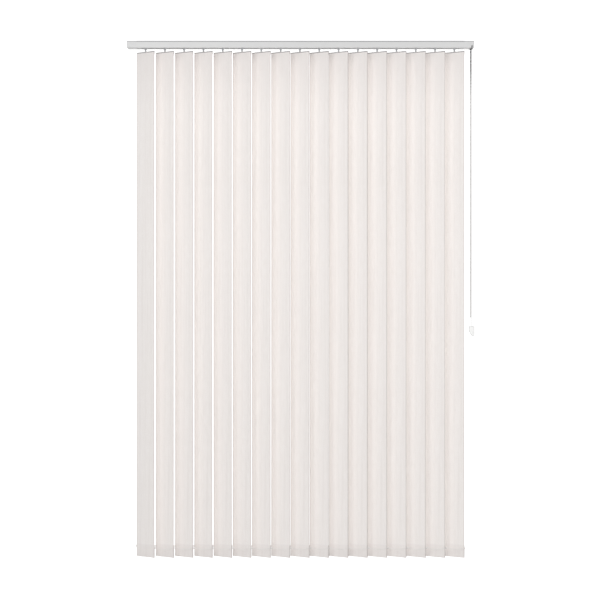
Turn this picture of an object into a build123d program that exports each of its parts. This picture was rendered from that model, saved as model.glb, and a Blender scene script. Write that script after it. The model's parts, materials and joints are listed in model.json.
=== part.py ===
from build123d import *
import math
import os

os.makedirs("parts", exist_ok=True)

# A vertical blind. X runs along the headrail, -Y faces the room and Z is up.
# The origin is the middle of the headrail's top face. Millimetres and degrees.

# ---- the row of louvres ------------------------------------------------------
vane_count = 17
vane_pitch = 79.0
idle_margin = 75.0  # from the idle end of the blind to the first stem
control_margin = 79.0  # from the last stem to the control end
rest_turn = 30.0  # how far the louvres stand open, from closed flat

# ---- the louvre's fabric, with a pocket at each end ---------------------------
vane_width = 89.0
vane_length = 2067.5
vane_drop = 13.5  # from the headrail's underside to the top of the fabric
fabric_thickness = 0.45
top_pocket = 20.0
bottom_pocket = 53.0
fold_chamfer = 0.5
notch_width = 14.0
notch_depth = 3.0

# ---- the hanger plate and the bottom weight -----------------------------------
plate_thickness = 1.4
plate_play = 0.15  # between a plate and the cloth on each side of it
plate_inset = 2.5  # from the fabric's edge to a plate's edge
seat_gap = 0.3
hanger_height = 16.0
hanger_neck = 9.0
weight_height = 46.0
ear_reach = 50.0  # from the louvre's axis to the pin that takes the chain
ear_below_top = 6.0
ear_height = 2.5
ear_end = 1.2
pin_height = 4.0

# ---- the headrail -------------------------------------------------------------
rail_width = 45.0
rail_height = 28.5
rail_wall = 1.3
rail_corner = 0.9
groove_height = 4.5
groove_depth = 2.5
rail_slot = 14.0

# ---- the end caps ---------------------------------------------------------------
cap_length = 40.0
cap_plug = 20.0
cap_round = 3.0
cap_wall = 3.0
fit_gap = 0.3

# ---- the carriers and their spacer strips ----------------------------------------
carrier_length = 15.0
carrier_side_gap = 0.4
carrier_top_gap = 0.4
tunnel_roof = 1.1
tunnel_side_gap = 0.3
strip_width = 8.0
strip_thickness = 0.3
strip_step = 0.55
strip_levels = 6
strip_edge_gap = 0.25
strip_tail = 3.0

# ---- the worm gear in each carrier --------------------------------------------------
gear_module = 1.0
wheel_teeth = 10
wheel_face = 4.0
wheel_tooth = 1.0  # tooth thickness at the pitch circle
worm_pitch_diameter = 11.0
worm_thread = 1.05  # thread thickness at the pitch line
worm_turns = 3
worm_length = 12.0
gear_play = 0.2  # added to the centre distance
dedendum_ratio = 1.25
flank_angle = 20.0
running_gap = 0.3

# ---- the tilt rod, its chain wheel and the bead chain --------------------------------
rod_flats = 6.0
rod_fit = 0.15
rod_bearing_gap = 0.3
bead_diameter = 4.5
bead_pitch = 6.0
wheel_pockets = 8
chain_wheel_thickness = 8.0
chain_wheel_lip = 1.6
pocket_depth_in_hub = 0.3
chain_from_end = 12.0  # from the control end to the plane of the chain
chain_bottom = -1131.0

# ---- the traverse cord and its weight ---------------------------------------------------
cord_diameter = 2.0
cord_hole = 3.2
cord_from_end = 9.0
cord_back_y = -9.5
cord_front_y = -16.0
cord_rise = 4.5  # the upper strand above the tilt rod's height
cord_fall = 5.5  # the lower strand below it
cord_bend = 5.0
cord_turn_inset = 20.0  # from the idle end to the turning post
tug_top = -1164.0
tug_height = 42.0
tug_width = 22.0
tug_offset = 1.0  # the block hangs a little to the idle side of its cord
tug_depth = 16.0
tug_slant_width = 12.0
tug_slant_height = 20.0
tug_slot_width = 6.0
tug_pulley_drop = 20.0
tug_axle = 1.6

# ---- the linking chain along the louvres' feet --------------------------------------------
link_diameter = 1.6
link_sag = 6.0
clip_bore = 2.8
clip_diameter = 5.2
clip_height = 2.4
clip_lift = 0.6

# ---- places worked out from the sizes above -------------------------------------------------
blind_length = idle_margin + (vane_count - 1) * vane_pitch + control_margin
blind_end = blind_length / 2
rail_end = blind_end - cap_length
first_stem = -blind_end + idle_margin
stems = [first_stem + n * vane_pitch for n in range(vane_count)]
numbers = [f"{n + 1:02d}" for n in range(vane_count)]

track_half = rail_width / 2 - groove_depth - rail_wall
track_top = -rail_wall
track_floor = -rail_height + rail_wall

slope = math.tan(math.radians(flank_angle))
dedendum = dedendum_ratio * gear_module
wheel_radius = wheel_teeth * gear_module / 2
worm_radius = worm_pitch_diameter / 2
rod_y = wheel_radius + worm_radius + gear_play
rod_z = -rail_height / 2
rod_across = rod_flats / math.cos(math.radians(30))

cord_back_z = rod_z + cord_rise
cord_front_z = rod_z - cord_fall
cord_x = blind_end - cord_from_end
chain_x = blind_end - chain_from_end
chain_radius = wheel_pockets * bead_pitch / (2 * math.pi)

vane_top = -rail_height - vane_drop
vane_bottom = vane_top - vane_length
pocket_depth = plate_thickness + 2 * plate_play + 2 * fabric_thickness
weight_top = vane_bottom + fabric_thickness + seat_gap + weight_height
ear_z = weight_top - ear_below_top


def finish(part, name):
    """Label a finished piece and write it under its name."""
    part.label = name
    export_step(part, f"parts/{name}.step")


# ---- headrail ----------------------------------------------------------------------
with BuildPart() as headrail:
    with BuildSketch(Plane.YZ.offset(-rail_end)):
        with Locations((0, -rail_height / 2)):
            RectangleRounded(rail_width, rail_height, rail_corner)
            Rectangle(rail_width - 2 * rail_wall, rail_height - 2 * rail_wall, mode=Mode.SUBTRACT)
        lip = rail_wall + groove_height / 2
        for side in (-1, 1):
            wall_depth = groove_depth + rail_wall
            with Locations((side * (rail_width - wall_depth) / 2, -lip)):
                Rectangle(wall_depth, groove_height + 2 * rail_wall)
            with Locations((side * (rail_width - groove_depth) / 2, -lip)):
                Rectangle(groove_depth, groove_height, mode=Mode.SUBTRACT)
        with Locations((0, -rail_height + rail_wall / 2)):
            Rectangle(rail_slot, 2 * rail_wall, mode=Mode.SUBTRACT)
    extrude(amount=2 * rail_end)
finish(headrail.part, "headrail")


# ---- end caps: a moulded block outside the rail and a plug inside it -------------------
def cap_blank(side):
    """The solid cap at the +X end (side 1) or the -X end (side -1)."""
    outward = Plane(origin=(side * rail_end, 0, 0), x_dir=(0, 1, 0), z_dir=(side, 0, 0))
    across = side  # the sketch's second axis points up at +X and down at -X
    with BuildPart() as blank:
        with BuildSketch(outward):
            with Locations((0, -across * rail_height / 2)):
                RectangleRounded(rail_width, rail_height, rail_corner)
        extrude(amount=cap_length)
        rim = blank.faces().sort_by(Axis.X)[-1 if side > 0 else 0].edges()
        fillet(rim, cap_round)
        with BuildSketch(outward):
            with Locations((0, across * (track_top + track_floor) / 2)):
                Rectangle(2 * (track_half - fit_gap), track_top - track_floor - 2 * fit_gap)
        extrude(amount=-cap_plug)
    return blank.part


rod_bore = rod_across + 2 * rod_bearing_gap
rod_start = -rail_end - cap_length / 4
rod_finish = blind_end - cap_wall
chain_room = chain_wheel_thickness + 1.0
chain_outer = chain_radius + bead_diameter / 2 + 0.5
cord_room_top = cord_back_z + cord_diameter / 2 + 2.0
cord_room_back = cord_back_y + cord_hole / 2 + 0.5
cord_room_front = cord_front_y - cord_hole / 2 - 0.5
cord_room_depth = cord_room_back - cord_room_front

with BuildPart() as control_end_cap:
    add(cap_blank(1))
    with BuildSketch(Plane.YZ.offset(rail_end - cap_plug)):
        with Locations((rod_y, rod_z)):
            Circle(rod_bore / 2)
    extrude(amount=rod_finish + 1.0 - (rail_end - cap_plug), mode=Mode.SUBTRACT)
    with BuildSketch(Plane.XY.offset(-rail_height)):
        with Locations((chain_x, rod_y)):
            Rectangle(chain_room, 2 * chain_outer)
    extrude(amount=rail_height + rod_z + chain_outer, mode=Mode.SUBTRACT)
    with BuildSketch(Plane.YZ.offset(rail_end - cap_plug)):
        with Locations((cord_back_y, cord_back_z), (cord_front_y, cord_front_z)):
            Circle(cord_hole / 2)
    extrude(amount=cord_x - (rail_end - cap_plug), mode=Mode.SUBTRACT)
    cord_room = cord_bend + cord_hole
    with BuildSketch(Plane.XY.offset(-rail_height)):
        with Locations((cord_x + cord_hole / 2 - cord_room / 2, (cord_room_back + cord_room_front) / 2)):
            Rectangle(cord_room, cord_room_depth)
    extrude(amount=rail_height + cord_room_top, mode=Mode.SUBTRACT)
    # the notch in the front wall that the cord leaves by
    with BuildSketch(Plane.XY.offset(-rail_height)):
        with Locations((cord_x, -rail_width / 2)):
            Rectangle(cord_hole + 2.0, rail_width + 2 * cord_room_front)
    extrude(amount=rail_height / 3, mode=Mode.SUBTRACT)
finish(control_end_cap.part, "control_end_cap")

# the cord turns back round a slanted post in the idle cap
turn_x = -blind_end + cord_turn_inset
turn_y = (cord_back_y + cord_front_y) / 2
turn_z = (cord_back_z + cord_front_z) / 2
turn_span = math.hypot(cord_back_y - cord_front_y, cord_back_z - cord_front_z)
turn_radius = turn_span / 2
turn_room_half = cord_room_depth / 2
post_axis = Vector(0, cord_back_z - cord_front_z, cord_front_y - cord_back_y).normalized()
post_half = turn_room_half / post_axis.Y + 0.8
post_radius = turn_radius - cord_diameter / 2 - 0.2

with BuildPart() as idle_end_cap:
    add(cap_blank(-1))
    with BuildSketch(Plane.YZ.offset(-rail_end + cap_plug)):
        with Locations((rod_y, rod_z)):
            Circle(rod_bore / 2)
    extrude(amount=-cap_plug - cap_length / 4 - 1.0, mode=Mode.SUBTRACT)
    with BuildSketch(Plane.YZ.offset(-rail_end + cap_plug)):
        with Locations((cord_back_y, cord_back_z), (cord_front_y, cord_front_z)):
            Circle(cord_hole / 2)
    extrude(amount=-cap_plug - 2.0, mode=Mode.SUBTRACT)
    room_start = turn_x - turn_radius - cord_diameter
    with BuildSketch(Plane.YZ.offset(room_start)):
        with Locations((turn_y, turn_z)):
            Rectangle(2 * turn_room_half, cord_back_z - cord_front_z + 2 * cord_hole)
    extrude(amount=-rail_end - 1.0 - room_start, mode=Mode.SUBTRACT)
    post_foot = Vector(turn_x, turn_y, turn_z) - post_axis * post_half
    with BuildSketch(Plane(origin=post_foot, x_dir=(1, 0, 0), z_dir=post_axis)):
        Circle(post_radius)
    extrude(amount=2 * post_half)
finish(idle_end_cap.part, "idle_end_cap")


# ---- carriers ------------------------------------------------------------------------
carrier_half = track_half - carrier_side_gap
carrier_top = track_top - carrier_top_gap
carrier_floor = track_floor + running_gap
carrier_tall = carrier_top - carrier_floor
tunnel_top = carrier_top - tunnel_roof
tunnel_tall = strip_levels * strip_step + 2 * strip_edge_gap
wheel_tip = wheel_radius + gear_module
worm_tip = worm_radius + gear_module
journal = 7.0
wheel_seat = rod_z - wheel_face / 2

with BuildPart() as housing:
    with BuildSketch(Plane.YZ.offset(-carrier_length / 2)):
        with Locations((0, carrier_top - carrier_tall / 2)):
            Rectangle(2 * carrier_half, carrier_tall)
    extrude(amount=carrier_length)
    with BuildSketch(Plane.YZ.offset(-carrier_length / 2)):
        with Locations((0, tunnel_top - tunnel_tall / 2)):
            Rectangle(strip_width + 2 * tunnel_side_gap, tunnel_tall)
        with Locations((cord_back_y, cord_back_z), (cord_front_y, cord_front_z)):
            Circle(cord_hole / 2)
        with Locations((rod_y, rod_z)):
            Circle(rod_bore / 2)
    extrude(amount=carrier_length, mode=Mode.SUBTRACT)
    worm_room = worm_length + 2 * running_gap
    with BuildSketch(Plane.YZ.offset(-worm_room / 2)):
        with Locations((rod_y, rod_z)):
            Circle(worm_tip + running_gap)
    extrude(amount=worm_room, mode=Mode.SUBTRACT)
    with BuildSketch(Plane.XY.offset(wheel_seat - running_gap)):
        Circle(wheel_tip + running_gap)
    extrude(amount=wheel_face + 2 * running_gap, mode=Mode.SUBTRACT)
    with BuildSketch(Plane.XY.offset(carrier_floor)):
        Circle(journal / 2 + running_gap)
    extrude(amount=wheel_seat - carrier_floor, mode=Mode.SUBTRACT)

for n, x in enumerate(stems):
    with BuildPart() as carrier:
        with Locations((x, 0, 0)):
            add(housing.part)
        if n < vane_count - 1:
            level = tunnel_top - strip_edge_gap - (n % strip_levels + 1) * strip_step
            with BuildSketch(Plane.XY.offset(level)):
                with Locations((x + vane_pitch / 2, 0)):
                    Rectangle(vane_pitch + 2 * strip_tail, strip_width)
            extrude(amount=strip_thickness)
    finish(carrier.part, f"carrier_{numbers[n]}")


# ---- worms, threaded on the tilt rod ------------------------------------------------------
thread_root = worm_radius - dedendum
thread_sink = 0.25
thread_foot = worm_thread + 2 * (dedendum + thread_sink) * slope
thread_crest = worm_thread - 2 * gear_module * slope
lead = math.pi * gear_module

with BuildPart() as worm_blank:
    with BuildSketch(Plane.YZ.offset(-worm_length / 2)):
        Circle(thread_root)
    extrude(amount=worm_length)
    with BuildLine() as helix:
        Helix(lead, lead * worm_turns, thread_root, (-lead * worm_turns / 2, 0, 0), (1, 0, 0))
    with BuildSketch(Plane(origin=helix.line @ 0, x_dir=(1, 0, 0), z_dir=helix.line % 0)):
        with BuildLine():
            Polyline(
                (-thread_foot / 2, -thread_sink),
                (-thread_crest / 2, dedendum + gear_module),
                (thread_crest / 2, dedendum + gear_module),
                (thread_foot / 2, -thread_sink),
                close=True,
            )
        make_face()
    sweep(path=helix.line, is_frenet=True)
    with BuildSketch(Plane.YZ.offset(-worm_length / 2)):
        RegularPolygon(rod_flats / 2 + rod_fit, 6, major_radius=False)
    extrude(amount=worm_length, mode=Mode.SUBTRACT)

for n, x in enumerate(stems):
    with BuildPart() as worm:
        with Locations(Location((x, rod_y, rod_z), (90, 0, 0))):
            add(worm_blank.part)
    finish(worm.part, f"worm_{numbers[n]}")


# ---- louvre: fabric, hanger, bottom weight and stem, modelled square to the rail ----------------
def pocket(top, tall):
    """One hem ring of the fabric's section, from its top down."""
    with Locations((0, top - tall / 2)):
        Rectangle(pocket_depth, tall)
        inside = tall - 2 * fabric_thickness
        Rectangle(pocket_depth - 2 * fabric_thickness, inside, mode=Mode.SUBTRACT)


with BuildPart() as fabric:
    with BuildSketch(Plane.YZ.offset(-vane_width / 2)):
        pocket(vane_top, top_pocket)
        pocket(vane_bottom + bottom_pocket, bottom_pocket)
        front = (pocket_depth - fabric_thickness) / 2
        with Locations((-front, (vane_top + vane_bottom) / 2)):
            Rectangle(fabric_thickness, vane_length)
    extrude(amount=vane_width)
    folds = fabric.edges().filter_by(Axis.X).filter_by(
        lambda e: min(abs(e.center().Z - vane_top), abs(e.center().Z - vane_bottom)) < 0.01
    )
    chamfer(folds, fold_chamfer)
    with BuildSketch(Plane.XY.offset(vane_top - notch_depth)):
        Rectangle(notch_width, 2 * pocket_depth)
    extrude(amount=2 * notch_depth, mode=Mode.SUBTRACT)

plate_width = vane_width - 2 * plate_inset
hanger_top = vane_top - fabric_thickness - seat_gap
fork_top = -rail_height - 2.0
bridge_bottom = fork_top - 3.0
neck_top = bridge_bottom - seat_gap
tine_bottom = vane_top + 0.8
tine_thickness = 1.6
tine_gap = 0.3
nib = 3.0
nib_z = (neck_top + tine_bottom) / 2

with BuildPart() as hanger:
    with BuildSketch(Plane.XZ):
        with Locations((0, hanger_top - hanger_height / 2)):
            Rectangle(plate_width, hanger_height)
        with Locations((0, (neck_top + hanger_top) / 2)):
            Rectangle(hanger_neck, neck_top - hanger_top)
        with Locations((0, nib_z)):
            Circle(nib / 2 + running_gap, mode=Mode.SUBTRACT)
    extrude(amount=plate_thickness / 2, both=True)

with BuildPart() as bottom_weight:
    with BuildSketch(Plane.XZ):
        with Locations((0, weight_top - weight_height / 2)):
            Rectangle(plate_width, weight_height)
        with Locations((0, ear_z - ear_height / 2)):
            Rectangle(2 * (ear_reach + ear_end), ear_height)
        with Locations((-ear_reach, ear_z + pin_height / 2), (ear_reach, ear_z + pin_height / 2)):
            Rectangle(plate_thickness, pin_height)
    extrude(amount=plate_thickness / 2, both=True)

with BuildPart() as stem:
    tooth_foot = wheel_radius - dedendum - 0.3
    tooth_tall = wheel_tip - tooth_foot
    with BuildSketch(Plane.XY.offset(wheel_seat)):
        Circle(wheel_radius - dedendum)
        with PolarLocations((tooth_foot + wheel_tip) / 2, wheel_teeth, 90 + rest_turn):
            tooth_width = wheel_tooth + 2 * (wheel_radius - tooth_foot) * slope
            Trapezoid(tooth_width, tooth_tall, 90 - flank_angle, rotation=-90)
    extrude(amount=wheel_face)
    with BuildSketch(Plane.XY.offset(fork_top)):
        Circle(journal / 2)
    extrude(amount=wheel_seat - fork_top)
    tine_y = plate_thickness / 2 + tine_gap + tine_thickness / 2
    with BuildSketch(Plane.XY.offset(bridge_bottom)):
        Rectangle(journal, 2 * tine_y + tine_thickness)
    extrude(amount=fork_top - bridge_bottom)
    with BuildSketch(Plane.XY.offset(tine_bottom)):
        with Locations((0, -tine_y), (0, tine_y)):
            Rectangle(journal, tine_thickness)
    extrude(amount=bridge_bottom - tine_bottom)
    with BuildSketch(Plane.XZ):
        with Locations((0, nib_z)):
            Circle(nib / 2)
    extrude(amount=tine_y, both=True)

for n, x in enumerate(stems):
    with BuildPart() as vane:
        with Locations(Location((x, 0, 0), (0, 0, -rest_turn))):
            add([fabric.part, hanger.part, bottom_weight.part, stem.part])
    finish(vane.part, f"vane_{numbers[n]}")


# ---- tilt rod with its chain wheel ---------------------------------------------------------------
with BuildPart() as tilt_rod:
    with BuildSketch(Plane.YZ.offset(rod_start)):
        with Locations((rod_y, rod_z)):
            RegularPolygon(rod_flats / 2, 6, major_radius=False, rotation=90)
    extrude(amount=rod_finish - rod_start)

with BuildPart() as chain_wheel:
    groove_wide = bead_diameter + 2 * running_gap
    hub_radius = chain_radius - groove_wide / 2
    wheel_side = chain_x - chain_wheel_thickness / 2
    with BuildSketch(Plane.YZ.offset(wheel_side)):
        with Locations((rod_y, rod_z)):
            Circle(chain_radius + chain_wheel_lip)
    extrude(amount=chain_wheel_thickness)
    with BuildSketch(Plane.YZ.offset(chain_x - groove_wide / 2)):
        with Locations((rod_y, rod_z)):
            Circle(chain_radius + 2 * chain_wheel_lip)
            Circle(hub_radius, mode=Mode.SUBTRACT)
            with PolarLocations(chain_radius, wheel_pockets):
                Circle(groove_wide / 2 + pocket_depth_in_hub)
    extrude(amount=groove_wide, mode=Mode.SUBTRACT)
    with BuildSketch(Plane.YZ.offset(wheel_side)):
        with Locations((rod_y, rod_z)):
            RegularPolygon(rod_flats / 2 + rod_fit, 6, major_radius=False, rotation=90)
    extrude(amount=chain_wheel_thickness, mode=Mode.SUBTRACT)

with BuildPart() as rod_and_wheel:
    add([tilt_rod.part, chain_wheel.part])
finish(rod_and_wheel.part, "tilt_rod")


# ---- tilt chain: a closed loop over the chain wheel ------------------------------------------------
loop_low = chain_bottom + bead_diameter / 2 + chain_radius
with BuildPart() as tilt_chain:
    with BuildLine(Plane.YZ.offset(chain_x)) as loop:
        near, far = rod_y - chain_radius, rod_y + chain_radius
        Line((near, loop_low), (near, rod_z))
        ThreePointArc((near, rod_z), (rod_y, rod_z + chain_radius), (far, rod_z))
        Line((far, rod_z), (far, loop_low))
        ThreePointArc((far, loop_low), (rod_y, loop_low - chain_radius), (near, loop_low))
    with BuildSketch(Plane.XY.offset(loop_low)):
        with Locations((chain_x, near)):
            Circle(bead_diameter / 2)
    sweep(path=loop.wire())
finish(tilt_chain.part, "tilt_chain")
print("tilt chain: radii", round(chain_radius, 2), "length", round(loop.wire().length, 1))


# ---- traverse cord: a closed loop through the rail and round its weight -----------------------------
tug_pulley_z = tug_top - tug_pulley_drop
hang_bend = (cord_back_y - cord_front_y) / 2 - 0.25
turn_bend = turn_radius - 0.3
turn_end = turn_x - turn_radius
cord_split = -rail_height
rail_run = [
    (cord_x, cord_back_y, cord_split),
    (cord_x, cord_back_y, cord_back_z),
    (turn_end, cord_back_y, cord_back_z),
    (turn_end, cord_front_y, cord_front_z),
    (cord_x, cord_front_y, cord_front_z),
    (cord_x, cord_front_y, cord_split),
]
hanging_run = [
    (cord_x, cord_front_y, cord_split),
    (cord_x, cord_front_y, tug_pulley_z - hang_bend),
    (cord_x, cord_back_y, tug_pulley_z - hang_bend),
    (cord_x, cord_back_y, cord_split),
]
with BuildPart() as traverse_cord:
    for corners, radii in (
        (rail_run, [cord_bend, turn_bend, turn_bend, cord_bend]),
        (hanging_run, [hang_bend, hang_bend]),
    ):
        with BuildLine() as route:
            FilletPolyline(*corners, radius=radii)
        with BuildSketch(Plane(origin=route.wire() @ 0, z_dir=route.wire() % 0)):
            Circle(cord_diameter / 2)
        sweep(path=route.wire())
        print("traverse cord: radii", [round(r, 2) for r in radii], "length", route.wire().length)
finish(traverse_cord.part, "traverse_cord")


# ---- cord weight: a block with a slot for the cord's small pulley ------------------------------------
tug_left = cord_x - tug_width / 2 - tug_offset
with BuildPart() as tug_body:
    with BuildSketch(Plane.XZ.offset(-turn_y)):
        with BuildLine():
            Polyline(
                (tug_left, tug_top),
                (tug_left, tug_top - tug_height + tug_slant_height),
                (tug_left + tug_slant_width, tug_top - tug_height),
                (tug_left + tug_width, tug_top - tug_height),
                (tug_left + tug_width, tug_top),
                close=True,
            )
        make_face()
    extrude(amount=tug_depth / 2, both=True)
    chamfer(tug_body.edges().filter_by(Plane.XZ).filter_by(Axis.Z), 0.8)
    with BuildSketch(Plane.XY.offset(tug_top)):
        with Locations((cord_x, turn_y)):
            Rectangle(tug_slot_width, cord_back_y - cord_front_y + cord_hole)
    extrude(amount=-tug_pulley_drop - hang_bend - cord_hole, mode=Mode.SUBTRACT)
    with BuildSketch(Plane.YZ.offset(cord_x - tug_slot_width / 2 - 0.5)):
        with Locations((turn_y, tug_pulley_z)):
            Circle(tug_axle / 2)
    extrude(amount=tug_slot_width + 1.0)

with BuildPart() as tug_pulley:
    pulley_wide = tug_slot_width - 2 * running_gap
    with BuildSketch(Plane.YZ.offset(cord_x - pulley_wide / 2)):
        with Locations((turn_y, tug_pulley_z)):
            Circle(hang_bend - cord_diameter / 2 - running_gap)
            Circle(tug_axle / 2 + 0.15, mode=Mode.SUBTRACT)
    extrude(amount=pulley_wide)

with BuildPart() as cord_weight:
    add([tug_body.part, tug_pulley.part])
finish(cord_weight.part, "cord_weight")


# ---- linking chains, one row along each edge of the louvres ---------------------------------------------
clip_bottom = ear_z + clip_lift
clip_middle = clip_bottom + clip_height / 2


def link_chain(side):
    """The row of clips and sagging links on the louvres' +X edges (side 1) or -X edges (side -1)."""
    turn = math.radians(rest_turn)
    row_y = -side * ear_reach * math.sin(turn)
    reach = side * ear_reach * math.cos(turn)
    half = (vane_pitch - clip_bore - (clip_diameter - clip_bore) / 2) / 2
    with BuildPart() as span:
        with BuildLine(Plane.XZ.offset(-row_y)) as sagging:
            ThreePointArc((-half, clip_middle), (0, clip_middle - link_sag), (half, clip_middle))
        with BuildSketch(Plane(origin=sagging.line @ 0, z_dir=sagging.line % 0)):
            Circle(link_diameter / 2)
        sweep(path=sagging.line)
    with BuildPart() as row:
        with BuildSketch(Plane.XY.offset(clip_bottom)):
            with Locations([(x + reach, row_y) for x in stems]):
                Circle(clip_diameter / 2)
        extrude(amount=clip_height)
        with Locations([(x + reach + vane_pitch / 2, 0, 0) for x in stems[:-1]]):
            add(span.part)
        with BuildSketch(Plane.XY.offset(clip_bottom - 1)):
            with Locations([(x + reach, row_y) for x in stems]):
                Circle(clip_bore / 2)
        extrude(amount=clip_height + 2, mode=Mode.SUBTRACT)
    return row.part


finish(link_chain(1), "front_chain")
finish(link_chain(-1), "back_chain")
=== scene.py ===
# %% [markdown]
# # A vertical blind, finished and lit
# The blind's construction, from the headrail to the gears in it, comes from a packed model
# in metres. This lesson gives it its looks: hung cloth with sewn pockets, moulded plastic,
# a painted rail, a beaded chain and a cord under tension.

# %% Load the construction
import json
import math
import random

import bpy
from mathutils import Matrix, Vector


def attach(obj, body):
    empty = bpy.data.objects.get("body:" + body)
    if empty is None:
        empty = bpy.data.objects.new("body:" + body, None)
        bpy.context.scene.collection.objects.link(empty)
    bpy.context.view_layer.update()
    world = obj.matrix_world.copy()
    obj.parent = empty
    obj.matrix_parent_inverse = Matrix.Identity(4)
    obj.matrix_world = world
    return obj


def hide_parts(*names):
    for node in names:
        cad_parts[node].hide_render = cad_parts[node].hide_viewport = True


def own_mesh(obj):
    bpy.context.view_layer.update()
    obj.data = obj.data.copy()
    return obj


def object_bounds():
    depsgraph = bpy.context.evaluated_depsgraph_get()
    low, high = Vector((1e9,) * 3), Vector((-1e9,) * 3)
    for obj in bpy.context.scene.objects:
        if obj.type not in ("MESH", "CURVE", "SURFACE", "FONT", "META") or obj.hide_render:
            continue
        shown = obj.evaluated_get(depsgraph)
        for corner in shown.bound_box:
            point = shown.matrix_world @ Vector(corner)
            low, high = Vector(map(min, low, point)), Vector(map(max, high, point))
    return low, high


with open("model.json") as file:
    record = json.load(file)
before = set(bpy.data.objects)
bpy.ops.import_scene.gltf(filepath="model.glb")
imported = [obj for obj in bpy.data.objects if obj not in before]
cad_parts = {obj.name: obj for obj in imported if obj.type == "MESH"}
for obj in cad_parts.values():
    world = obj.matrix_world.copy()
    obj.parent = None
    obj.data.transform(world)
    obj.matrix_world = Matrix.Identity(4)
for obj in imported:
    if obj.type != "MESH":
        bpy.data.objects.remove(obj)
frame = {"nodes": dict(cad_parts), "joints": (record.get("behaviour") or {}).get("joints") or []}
cad_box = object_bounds()
bpy.context.scene.view_settings.view_transform = "Standard"
joints = {joint["name"]: joint for joint in frame["joints"]}

# %% [markdown]
# The sizes that the new pieces share with the construction are named once. The stems' places
# are the pivots of the tilt joints, so a louvre always hangs where its carrier is.

# %% Name the shared sizes
MM = 0.001
LOUVRES = [f"{n:02d}" for n in range(1, 18)]
TILT = {n: "tilt" if n == "01" else f"vane_{n}_tilt" for n in LOUVRES}
STEM_X = {n: joints[TILT[n]]["pos_m"][0] for n in LOUVRES}
PITCH = STEM_X["02"] - STEM_X["01"]
REST_TURN = math.radians(30)
RAIL_HEIGHT = 28.5 * MM
RAIL_UNDERSIDE = -RAIL_HEIGHT
CLOTH_WIDTH = 89 * MM
CLOTH = 0.45 * MM
CLOTH_TOP = RAIL_UNDERSIDE - 13.5 * MM
CLOTH_BOTTOM = CLOTH_TOP - 2067.5 * MM
TOP_POCKET = 20 * MM
BOTTOM_POCKET = 53 * MM
POCKET_HALF = 1.075 * MM
PLATE = 1.4 * MM
EAR_REACH = 50 * MM
EAR_Z = CLOTH_BOTTOM + 40.75 * MM
ROD_Y = 10.7 * MM
ROD_Z = -RAIL_HEIGHT / 2
BACK_Y, FRONT_Y = -9.5 * MM, -16 * MM
TUG_Y = (BACK_Y + FRONT_Y) / 2
print("pitch", round(PITCH, 4), "cloth drop", round(CLOTH_TOP - CLOTH_BOTTOM, 4))

# %% [markdown]
# A camera could be aimed with a constraint, but a blind is all uprights, and a tilted camera
# would make them lean. So it stands level with the middle of the blind and well back, and a
# long lens shows the headrail and the louvres' feet at nearly the same size.

# %% Camera
CAMERA_PLACE = Vector((-0.002, -5.56, -1.0578))
bpy.ops.object.select_all(action="DESELECT")
bpy.ops.object.camera_add(location=CAMERA_PLACE, rotation=(math.pi / 2, 0, 0))
camera = bpy.context.object
camera.name = "camera"
camera.data.lens = 81.5
bpy.context.scene.camera = camera
print("camera", [round(c, 3) for c in camera.location], "lens", camera.data.lens)

# %% [markdown]
# Node trees can be drawn by hand or written out link by link, but shader maths reads best as
# ordinary sums. `Field` wraps one socket of a node tree, and its operators add Math nodes.


# %% Sums on the surface
class Field:
    """A number that varies over a surface."""

    def __init__(self, finish, socket):
        self.finish = finish
        self.socket = socket

    def math(self, operation, *terms):
        node = self.finish.node("ShaderNodeMath", {"operation": operation}, dict(enumerate(terms)))
        return Field(self.finish, node.outputs[0])

    def __add__(self, other):
        return self.math("ADD", self, other)

    def __sub__(self, other):
        return self.math("SUBTRACT", self, other)

    def __rsub__(self, other):
        return self.math("SUBTRACT", other, self)

    def __mul__(self, other):
        return self.math("MULTIPLY", self, other)

    __radd__ = __add__
    __rmul__ = __mul__

    def sine(self):
        return self.math("SINE", self)

    def size(self):
        return self.math("ABSOLUTE", self)

    def rise(self, low, high):
        """0 below low, 1 above high, and a smooth step between them."""
        settings = {"interpolation_type": "SMOOTHSTEP"}
        sockets = {"Value": self, "From Min": low, "From Max": high}
        return Field(self.finish, self.finish.node("ShaderNodeMapRange", settings, sockets).outputs[0])


print("sums:", [name for name in vars(Field) if not name.startswith("_")])

# %% [markdown]
# `Finish` is one material round a Principled shader, and makes every other kind of node. A
# finish is then a few lines: a base colour, tints laid over it, a relief and a varied gloss.
# Every pattern comes from a point's place on the piece, so no picture has to be painted.


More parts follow.
